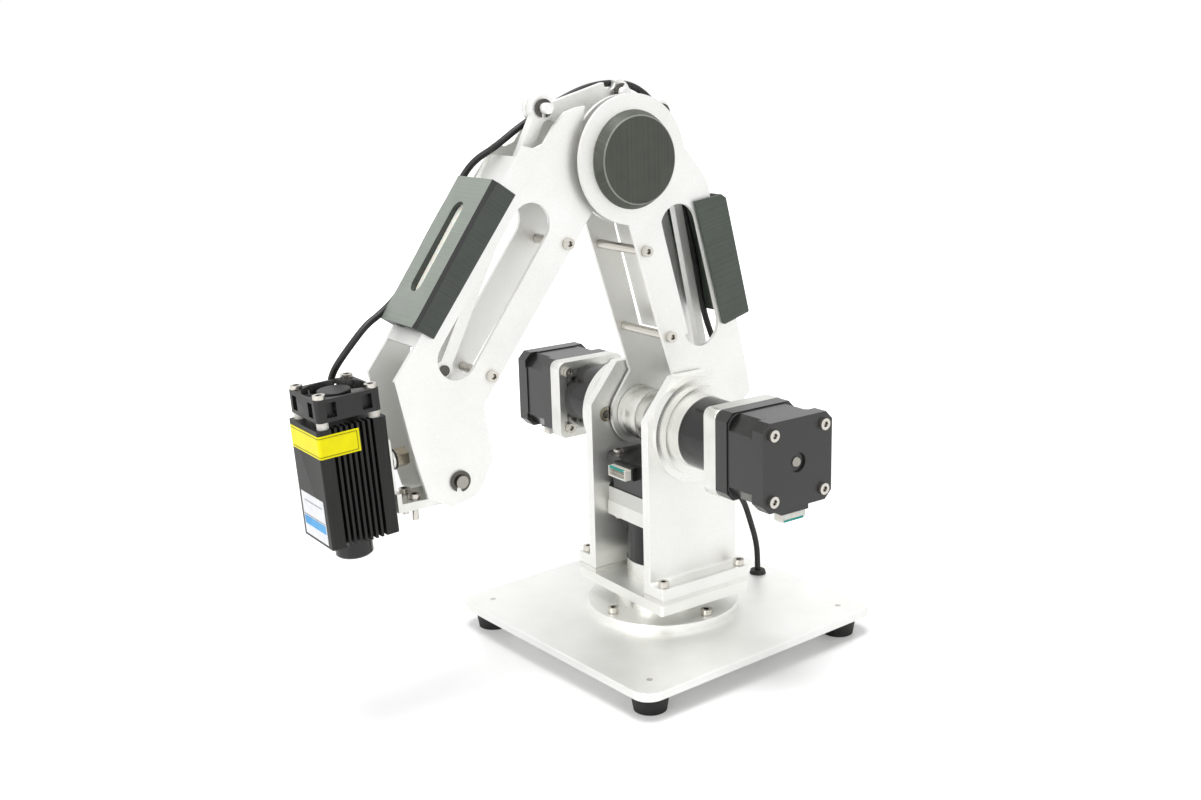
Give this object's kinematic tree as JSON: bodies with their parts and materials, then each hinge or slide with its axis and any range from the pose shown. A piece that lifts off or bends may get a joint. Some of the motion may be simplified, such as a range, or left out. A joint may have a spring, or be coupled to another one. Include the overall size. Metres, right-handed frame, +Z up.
{
  "type": "robot arm with laser head",
  "caption": "Desktop robot arm on a footed plate: geared motors at the shoulder, parallel level rods in plate links, and a finned laser head with a fan held level.",
  "frame": {"origin": "on the floor under the turning axis of the base, at the middle of the four feet", "axes": "+X the way the arm points, +Y towards the shoulder motor, +Z up"},
  "size_m": [0.2757, 0.209, 0.2864],
  "materials": {
    "plate_silver": "bead blasted and clear anodised",
    "machined": "brushed and turned",
    "steel": "satin",
    "bright_screw": "polished",
    "motor_black": "satin black",
    "anodised_black": "black anodised",
    "printed_grey": "fine printed layers",
    "printed_dark": "fine printed layers",
    "rubber_black": "moulded",
    "cable_black": "smooth jacket",
    "plastic_black": "moulded",
    "nylon_white": "moulded",
    "lens_black": "black anodised"
  },
  "bodies": {
    "base": {"base_plate": "plate_silver", "rubber_feet": "rubber_black", "base_screws": "steel", "base_flange": "plate_silver", "base_hub": "machined", "cable_grommet": "rubber_black"},
    "turntable": {"turntable_plate": "plate_silver", "bracket_shims": "machined", "near_bracket": "plate_silver", "far_bracket": "plate_silver", "level_post": "plate_silver", "motor_adapters": "machined", "turntable_screws": "bright_screw", "gearboxes": "motor_black", "gearbox_flanges": "machined", "near_motor": "motor_black", "far_motor": "motor_black", "yaw_motor": "motor_black", "motor_connectors": "nylon_white", "motor_screws": "bright_screw", "cable_shoulder": "cable_black", "cable_tail": "cable_black"},
    "near_rotor": {"near_motor_shaft": "steel"},
    "far_rotor": {"far_motor_shaft": "steel"},
    "yaw_rotor": {"yaw_motor_shaft": "steel"},
    "lower_arm": {"lower_near_plate": "plate_silver", "lower_far_plate": "plate_silver", "lower_web": "plate_silver", "lower_standoffs": "machined", "lower_cover": "printed_grey", "elbow_shaft": "steel", "elbow_caps": "printed_dark", "shoulder_hub": "machined", "cable_arm": "cable_black"},
    "crank": {"crank_hub": "machined"},
    "crank_pin": {"crank_pin": "steel"},
    "drive_rod": {"drive_rod": "plate_silver"},
    "level_rod": {"level_rod": "plate_silver"},
    "elbow_triangle": {"elbow_triangle": "plate_silver", "triangle_clips": "steel", "cable_elbow_front": "cable_black", "cable_elbow_rear": "cable_black"},
    "forearm": {"forearm_near_plate": "plate_silver", "forearm_far_plate": "plate_silver", "forearm_web": "plate_silver", "forearm_standoffs": "machined", "forearm_cover": "printed_grey", "wrist_shaft": "steel", "wrist_rings": "steel", "cable_forearm": "cable_black", "cable_wrist": "cable_black"},
    "upper_rod": {"upper_rod": "plate_silver"},
    "wrist": {"wrist_bracket": "machined", "wrist_fixings": "bright_screw", "laser_body": "anodised_black", "laser_lens": "lens_black", "fan_spacers": "nylon_white", "fan_frame": "plastic_black", "head_screws": "bright_screw"},
    "fan_rotor": {"fan_rotor": "plastic_black"}
  },
  "joints": [
    {"name": "base_yaw", "type": "hinge", "parent": "base", "child": "turntable", "pos_m": [0, 0, 0.0314], "axis": [0, 0, 1], "range_deg": [-110, 110], "deforming": ["cable_tail"]},
    {"name": "shoulder", "type": "hinge", "parent": "turntable", "child": "lower_arm", "pos_m": [0, 0, 0.1164], "axis": [0, 1, 0], "range_deg": [-18, 40], "deforming": ["cable_shoulder"]},
    {"name": "triangle_level", "type": "hinge", "parent": "lower_arm", "child": "elbow_triangle", "pos_m": [0.02817, 0, 0.25006], "axis": [0, -1, 0], "range_deg": [-18, 40], "deforming": ["cable_elbow_rear"]},
    {"name": "elbow", "type": "hinge", "parent": "elbow_triangle", "child": "forearm", "pos_m": [0.02817, 0, 0.25006], "axis": [0, -1, 0], "range_deg": [-2, 32], "deforming": ["cable_elbow_front"]},
    {"name": "wrist_level", "type": "hinge", "parent": "forearm", "child": "wrist", "pos_m": [0.12552, 0, 0.11155], "axis": [0, 1, 0], "range_deg": [-2, 32], "deforming": ["cable_wrist"]},
    {"name": "fan_spin", "type": "hinge", "parent": "wrist", "child": "fan_rotor", "pos_m": [0.17736, 0.0006, 0.15436], "axis": [0.0558, 0, 0.9984], "continuous": true},
    {"name": "crank", "type": "hinge", "parent": "turntable", "child": "crank", "pos_m": [0, 0, 0.1164], "axis": [0, -1, 0], "range_deg": [-2, 32]},
    {"name": "crank_pin", "type": "hinge", "parent": "crank", "child": "crank_pin", "pos_m": [-0.028, 0, 0.1364], "axis": [0, 1, 0], "range_deg": [-2, 32]},
    {"name": "drive_rod", "type": "hinge", "parent": "crank_pin", "child": "drive_rod", "pos_m": [-0.028, 0, 0.1364], "axis": [0, 1, 0], "range_deg": [-18, 40]},
    {"name": "level_rod", "type": "hinge", "parent": "turntable", "child": "level_rod", "pos_m": [-0.028, 0, 0.1364], "axis": [0, 1, 0], "range_deg": [-18, 40]},
    {"name": "upper_rod", "type": "hinge", "parent": "elbow_triangle", "child": "upper_rod", "pos_m": [0.06847, 0, 0.27506], "axis": [0, -1, 0], "range_deg": [-2.68, 42.88]},
    {"name": "near_rotor", "type": "hinge", "parent": "turntable", "child": "near_rotor", "pos_m": [0, 0.06, 0.1164], "axis": [0, 1, 0], "range_deg": [-93.24, 207.2]},
    {"name": "far_rotor", "type": "hinge", "parent": "turntable", "child": "far_rotor", "pos_m": [0, -0.06, 0.1164], "axis": [0, -1, 0], "range_deg": [-10.36, 165.76]},
    {"name": "yaw_rotor", "type": "hinge", "parent": "turntable", "child": "yaw_rotor", "pos_m": [0, 0, 0.07], "axis": [0, 0, 1], "range_deg": [-569.8, 569.8]}
  ],
  "couplings": [
    {"joint": "triangle_level", "follows": "shoulder", "ratio": 1},
    {"joint": "wrist_level", "follows": "elbow", "ratio": 1},
    {"joint": "crank", "follows": "elbow", "ratio": 1},
    {"joint": "crank_pin", "follows": "elbow", "ratio": 1},
    {"joint": "drive_rod", "follows": "shoulder", "ratio": 1},
    {"joint": "level_rod", "follows": "shoulder", "ratio": 1},
    {"joint": "upper_rod", "follows": "elbow", "ratio": 1.34},
    {"joint": "near_rotor", "follows": "shoulder", "ratio": 5.18},
    {"joint": "far_rotor", "follows": "elbow", "ratio": 5.18},
    {"joint": "yaw_rotor", "follows": "base_yaw", "ratio": -5.18}
  ]
}
